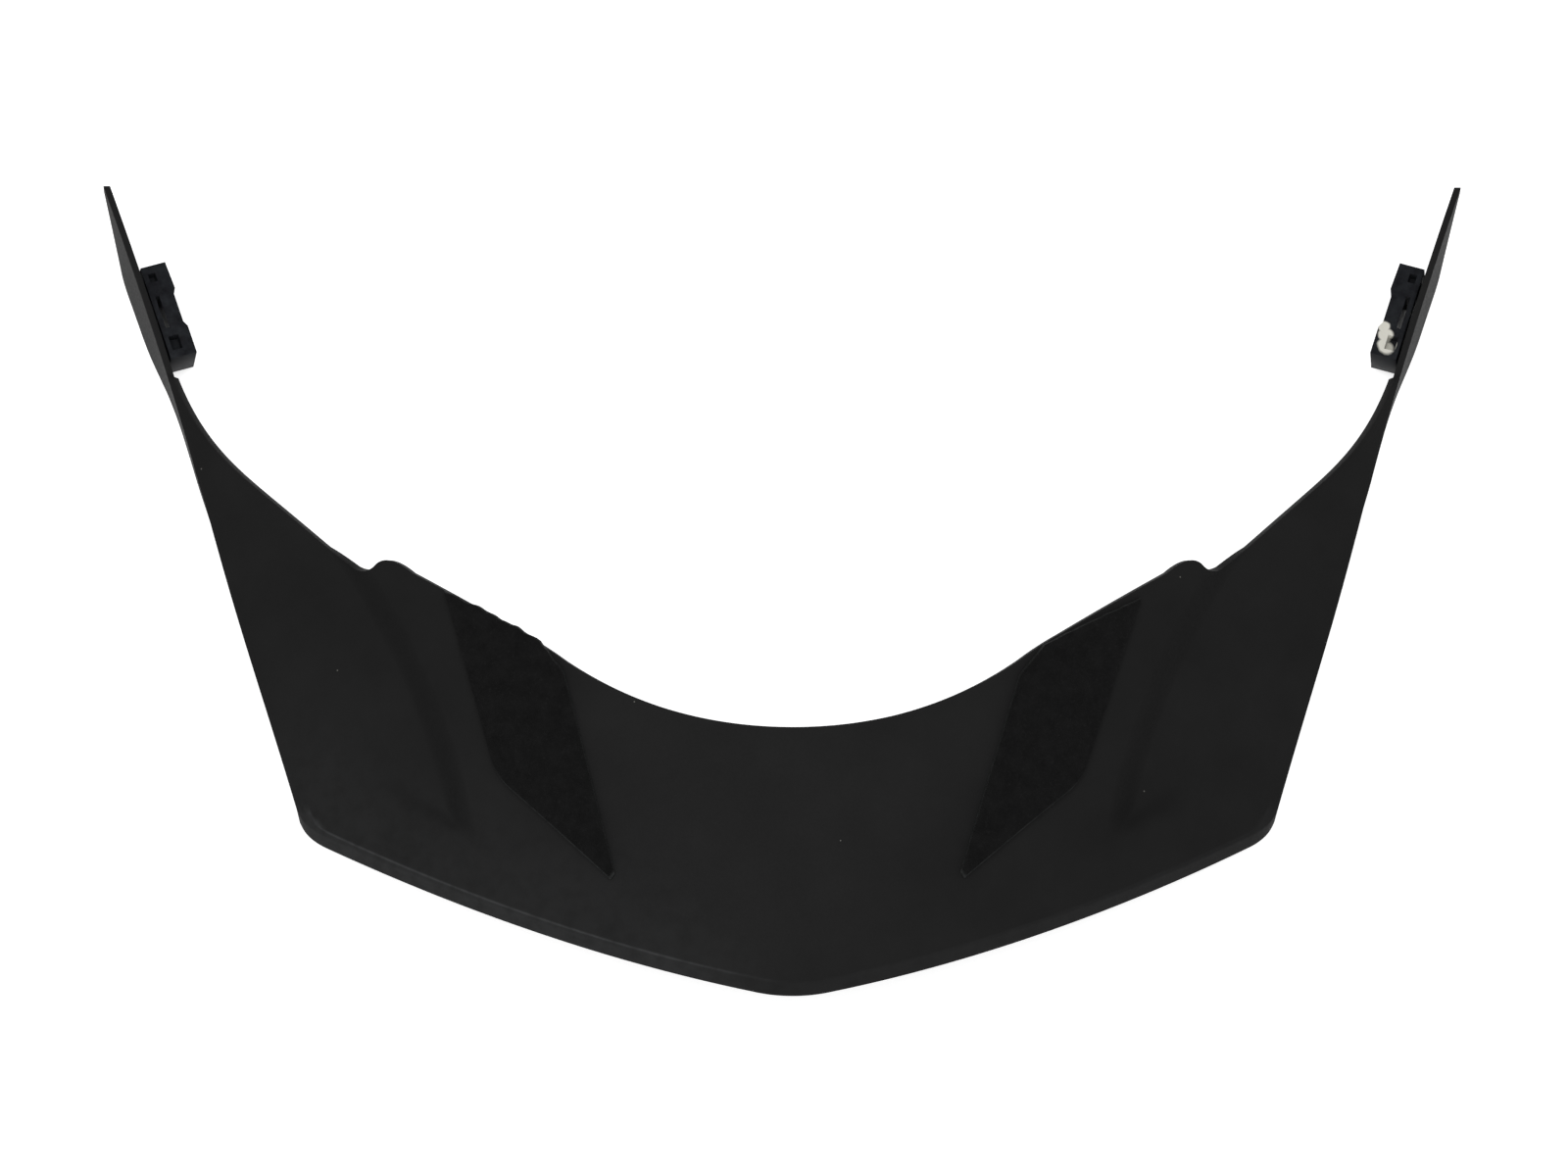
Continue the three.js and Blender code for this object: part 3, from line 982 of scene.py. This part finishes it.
            # the painted highlight and sheen are full on the left side and fade out towards the right
            left = smooth((start - vertex.co.x) / run)
            face = smooth((self.rim_width + self.sheen_reach - near) / (2 * self.sheen_reach))
            crest = math.exp(-(((near - self.rim_width) / self.highlight_half_width) ** 2))
            crest *= smooth((self.highlight_end - abs(vertex.co.x)) / self.highlight_end_run)
            band = math.exp(-((near / self.band_reach) ** 2))
            brightened = max(self.crest_highlight * crest, self.rim_sheen * face, self.band_sheen * band)
            above = vertex.co.z > FORM.top_z(vertex.co.x, vertex.co.y) - self.rim_drop - self.highlight_depth
            vertex[layer] = max(left * brightened, self.right_sheen * face) if above else 0.0


@dataclass
class Arms:
    """The two long pointed arms that hang from the side line and carry the clips."""

    finish: bpy.types.Material
    thickness: float = 1.12
    start_y: float = 12.0
    lean: float = 0.11
    lean_start_y: float = 30.0
    lean_full_y: float = 50.0
    proud: float = 0.12
    proud_run: float = 10.0
    rows: int = 14
    fineness: int = 5
    divisions: tuple[int, ...] = (7, 3, 2, 2, 6)
    edge_radius: float = 0.36
    edge_facets: int = 3
    boss_radius: float = 1.5
    boss_height: float = 1.1
    boss_root: float = 0.5  # how far each boss goes into the arm's wall
    boss_facets: int = 32
    boss_spacing: float = 11.8
    boss_drop: float = 1.2
    clip_y: float = 49.9
    clip_mid_drop: float = 4.7
    clip_wall: float = 1.2  # from the arm's outer face in to the clip's back
    lower: Path = field(
        default_factory=lambda: Path(
            ((12, 6.7), (38, 2.1)),
            ((38, 2.1), (44, 0), (47, 0)),
            ((47, 0), (56.5, 0)),
            ((56.5, 0), (59.5, 0), (61, 1.8)),
            ((61, 1.8), (71.5, 11.655)),
        )
    )

    def build(self) -> list[bpy.types.Object]:
        """Builds both arms."""
        return [self._arm(side) for side in Side]

    def leaning(self, y: float) -> float:
        """How much the arm leans out at y.

        Args:
            y: Place along the visor.

        Returns:
            The step outward for each millimetre down.
        """
        return self.lean * smooth((y - self.lean_start_y) / (self.lean_full_y - self.lean_start_y))

    def _arm(self, side: Side) -> bpy.types.Object:
        """Builds one arm with the two screw bosses on its inner face.

        Args:
            side: The side it is on.

        Returns:
            The arm's object.
        """
        feet = self.lower.samples([self.fineness * n for n in self.divisions])
        columns = len(feet) - 1

        def place(column: int, row: int) -> Vector:
            """Place of one point of the arm's outer face."""
            top_y = self.start_y + (FORM.arm_tip_y - self.start_y) * column / columns
            part = row / self.rows
            y = feet[column].x + (top_y - feet[column].x) * part
            z = feet[column].y + (FORM.edge_z(top_y) - self.proud - feet[column].y) * part
            stand = self.proud * (2.0 * smooth((y - self.start_y) / self.proud_run) - 1.0)
            return Vector((FORM.side_x(y) + stand + self.leaning(y) * (FORM.edge_z(y) - z), y, z))

        mesh = grid(columns, self.rows, place)
        inward = Vector((-self.thickness / math.cos(math.atan(FORM.side_splay)), 0.0, 0.0))
        thicken(mesh, lambda point: inward)
        soften(mesh, self.edge_radius, self.edge_facets, SHARP_TURN)
        for along in (-self.boss_spacing / 2, self.boss_spacing / 2):
            self._boss(mesh, along)
        if side is Side.LEFT:
            to_left(mesh)
        return piece(mesh, f"visor_arm_{side.label}", self.finish, ["visor_shell"])

    def clip_frame(self) -> Matrix:
        """The right clip's own frame: X out from the arm's inner face, Y back along the arm."""
        bend = 2 * FORM.arm_bend * (self.clip_y - FORM.arm_bend_y)
        splay = math.atan(FORM.side_splay + bend)
        outward = self.leaning(self.clip_y) * self.clip_mid_drop - self.clip_wall / math.cos(splay)
        middle_z = FORM.edge_z(self.clip_y) - self.clip_mid_drop
        place = Vector((FORM.side_x(self.clip_y) + outward, self.clip_y, middle_z))
        turn = Matrix.Rotation(-splay, 4, "Z") @ Matrix.Rotation(-math.atan(self.lean), 4, "Y")
        return Matrix.Translation(place) @ turn

    def _boss(self, mesh: bmesh.types.BMesh, along: float) -> None:
        """Adds one round boss to the arm's inner face.

        Args:
            mesh: The arm.
            along: Its distance back from the clip's middle.
        """
        length = self.boss_height + self.boss_root
        centre = Vector((self.boss_root - length / 2, along, -self.boss_drop))
        matrix = self.clip_frame() @ Matrix.Translation(centre) @ Matrix.Rotation(math.pi / 2, 4, "Y")
        bmesh.ops.create_cone(
            mesh,
            cap_ends=True,
            segments=self.boss_facets,
            radius1=self.boss_radius,
            radius2=self.boss_radius,
            depth=length,
            matrix=matrix,
        )


# ---- patches ----


@dataclass(frozen=True)
class PatchPlace:
    """Where one patch was stuck on by hand, and how carefully it was cut."""

    side: Side
    x: float
    y: float
    turn: float
    ripple: float  # how far its rear edge waves, in millimetres


@dataclass
class Patches:
    """The two felt patches, each on a film that shows as a narrow border."""

    felt: bpy.types.Material
    film: bpy.types.Material
    film_growth: float = 1.018
    film_shift: Span = (0.1, -0.1)  # the felt lies a little inboard and back on its film
    film_foot: float = 0.02
    film_top: float = 0.42
    film_radius: float = 0.1
    film_facets: int = 2
    felt_foot: float = 0.4
    felt_top: float = 1.25
    felt_radius: float = 0.22
    felt_facets: int = 3
    felt_crease: float = 60.0
    front_columns: tuple[int, ...] = (4, 30, 18)
    rear_columns: tuple[int, ...] = (10, 42)
    rows: int = 80
    pile: float = 0.09
    pile_pitch: float = 1.3  # waves of the pile in each millimetre
    ripple_pitch: float = 0.45  # waves of the rear edge in each millimetre
    ripple_slice: float = 3.0  # height in the noise at which the rear edge is read
    places: tuple[PatchPlace, ...] = (
        PatchPlace(Side.LEFT, 45.1, -26.5, 0.0, 0.48),
        PatchPlace(Side.RIGHT, 44.75, -27.2, -2.9, 0.16),
    )
    front: Path = field(
        default_factory=lambda: Path(
            ((-15.4, -26.6), (-14.7, -27.5)),
            ((-14.7, -27.5), (1.6, -11.8)),
            ((1.6, -11.8), (3.8, -9.7), (4.6, -6.8)),
        )
    )
    rear: Path = field(
        default_factory=lambda: Path(
            ((-7.2, 5.6), (-3.4, 11)),
            ((-3.4, 11), (12.4, 21)),
        )
    )

    def build(self) -> list[bpy.types.Object]:
        """Builds the film and the felt on both sides."""
        made = []
        for place in self.places:
            label = place.side.label
            outward, back = self.film_shift
            under = replace(place, x=place.x + outward, y=place.y + back)
            film = self._plate(under, self.film_growth, self.film_foot, self.film_top, 0.0)
            soften(film, self.film_radius, self.film_facets)
            backing = [f"patch_backing_{label}"]
            made.append(piece(film, f"film_border_{label}", self.film, backing))
            felt = self._plate(place, 1.0, self.felt_foot, self.felt_top, self.pile)
            soften(felt, self.felt_radius, self.felt_facets)
            patch = [f"felt_patch_{label}"]
            made.append(piece(felt, f"felt_{label}", self.felt, patch, self.felt_crease))
        return made

    def _plate(
        self, place: PatchPlace, growth: float, foot: float, top: float, pile: float
    ) -> bmesh.types.BMesh:
        """A thin plate in the patch's outline that follows the brim.

        Args:
            place: Where the patch is.
            growth: Size of the outline against the felt's.
            foot: Height of its underside above the brim.
            top: Height of its upper side.
            pile: How unevenly the upper side stands.

        Returns:
            The closed plate.
        """
        front = self.front.samples(self.front_columns)
        rear = self.rear.samples(self.rear_columns)
        turn = Matrix.Rotation(math.radians(place.turn), 2)

        def rule(column: int, row: int) -> Vector:
            """Place of one point of the plate's underside."""
            part = row / self.rows
            flat = front[column].lerp(rear[column], part) * growth
            flat = turn @ flat + Vector((place.x, place.y))
            pitch = self.ripple_pitch
            wave = noise.noise(Vector((flat.x * pitch, flat.y * pitch, self.ripple_slice)))
            last_third = smooth(3.0 * part - 2.0)
            flat.y += place.ripple * wave * last_third
            return Vector((flat.x, flat.y, FORM.top_z(flat.x, flat.y))) + foot * FORM.normal(flat.x, flat.y)

        def rise(point: Vector) -> Vector:
            """The step from the underside to the uneven upper side."""
            tuft = noise.noise(point * self.pile_pitch) * pile
            return (top - foot + tuft) * FORM.normal(point.x, point.y)

        mesh = grid(len(front) - 1, self.rows, rule)
        thicken(mesh, rise)
        if place.side is Side.LEFT:
            to_left(mesh)
        return mesh


# ---- clips ----


@dataclass
class Clips:
    """The nylon clip blocks and their screws, with their moulded edges rounded."""

    nylon: bpy.types.Material
    steel: bpy.types.Material
    block_radius: float = 0.16
    screw_radius: float = 0.06
    facets: int = 2

    def build(self) -> list[bpy.types.Object]:
        """Builds both clips and the two screws in each."""
        made = []
        for side in Side:
            clip = f"clip_{side.label}"
            block = from_node(clip)
            soften(block, self.block_radius, self.facets)
            made.append(piece(block, f"nylon_{clip}", self.nylon, [clip]))
            for end in ("front", "rear"):
                node = f"clip_screw_{side.label}_{end}"
                screw = from_node(node)
                soften(screw, self.screw_radius, self.facets, SHARP_TURN)
                name = node.replace("clip", "steel")
                made.append(piece(screw, name, self.steel, [node]))
        return made


# ---- studio ----


@dataclass(frozen=True)
class Softbox:
    """One square area light, aimed at the middle of the visor."""

    name: str
    place: tuple[float, float, float]
    size: float
    power: float
    colour: str = "ffffff"

    def build(self) -> None:
        """Adds the light to the scene."""
        light = bpy.data.lights.new(self.name, "AREA")
        light.shape = "SQUARE"
        light.size = self.size
        light.energy = self.power
        light.color = linear(self.colour)[:3]
        made = bpy.data.objects.new(self.name, light)
        made.location = self.place
        made.rotation_euler = (-Vector(self.place)).to_track_quat("-Z", "Y").to_euler()
        bpy.context.scene.collection.objects.link(made)


@dataclass
class Studio:
    """A plain white table and wall of soft light, and the camera above the visor's front."""

    azimuth: float = 5.65
    elevation: float = 71.62
    roll: float = 5.36
    distance: float = 1.806
    lens: float = 245.55
    sensor: float = 36.0
    sight: Span = (0.01, 50.0)  # nearest and farthest that the camera sees, in metres
    aim: tuple[float, float, float] = (0.0, 0.0, 0.012)
    aim_right: float = -0.00059
    aim_up: float = 0.00088
    table_size: float = 12.0
    table_colour: str = "f4f4f4"
    table_glow: float = 0.65
    table_roughness: float = 0.9
    table_specular: float = 0.1
    table_gap: float = 0.0001
    sky: float = 0.5
    lights: tuple[Softbox, ...] = (
        Softbox("softbox_top", (-0.1, -0.1, 1.5), 1.0, 9.0),
        Softbox("softbox_front", (-0.2, -1.3, 0.8), 0.6, 3.0),
    )

    def build(self) -> None:
        """Builds the table, the lights and the camera."""
        self._table()
        self._world()
        for light in self.lights:
            light.build()
        self._camera()

    def _table(self) -> None:
        """Adds the white table top, lit from inside so that it stays pale under the visor."""
        mesh = bmesh.new()
        bmesh.ops.create_grid(mesh, x_segments=1, y_segments=1, size=self.table_size / 2)
        data = bpy.data.meshes.new("table_top")
        mesh.to_mesh(data)
        mesh.free()
        material, shader = new_material("white_acrylic_light_table")
        inputs = {
            "Base Color": linear(self.table_colour),
            "Roughness": self.table_roughness,
            "Specular IOR Level": self.table_specular,
            "Emission Color": WHITE,
            "Emission Strength": self.table_glow,
        }
        data.materials.append(dress(material, shader, inputs))
        table = bpy.data.objects.new("table_top", data)
        table.location.z = CAD_BOX[0].z - self.table_gap
        table.visible_diffuse = False
        bpy.context.scene.collection.objects.link(table)

    def _world(self) -> None:
        """Sets the even white surroundings, and colours that are shown as they are."""
        world = bpy.data.worlds.new("white_room")
        world.use_nodes = True
        background = world.node_tree.nodes["Background"]
        background.inputs["Color"].default_value = WHITE
        background.inputs["Strength"].default_value = self.sky
        bpy.context.scene.world = world
        bpy.context.scene.view_settings.view_transform = "Standard"

    def _camera(self) -> None:
        """Adds the long-lens camera, with its small roll."""
        turn, tilt, roll = (math.radians(a) for a in (self.azimuth, self.elevation, self.roll))
        ahead = Vector((math.sin(turn) * math.cos(tilt), math.cos(turn) * math.cos(tilt), -math.sin(tilt)))
        level = Vector((math.cos(turn), -math.sin(turn), 0.0))
        upright = level.cross(ahead)
        right = math.cos(roll) * level + math.sin(roll) * upright
        up = math.cos(roll) * upright - math.sin(roll) * level
        place = Vector(self.aim) - self.distance * ahead + self.aim_right * right + self.aim_up * up
        data = bpy.data.cameras.new("camera")
        data.lens = self.lens
        data.sensor_width = self.sensor
        data.clip_start, data.clip_end = self.sight
        camera = bpy.data.objects.new("camera", data)
        axes = Matrix((right, up, -ahead)).transposed().to_4x4()
        camera.matrix_world = Matrix.Translation(place) @ axes
        bpy.context.scene.collection.objects.link(camera)
        bpy.context.scene.camera = camera


def main() -> None:
    """Builds the visor's sub-assemblies and the studio."""
    logging.basicConfig(level=logging.INFO, format="%(message)s")
    plastic = MouldedPolypropylene().made()
    Brim(plastic).build()
    Arms(plastic).build()
    Patches(NeedledFelt().made(), AdhesiveFilm().made()).build()
    Clips(GlassFilledNylon().made(), BlackenedSteel().made()).build()
    Studio().build()


if __name__ == "__main__":
    main()
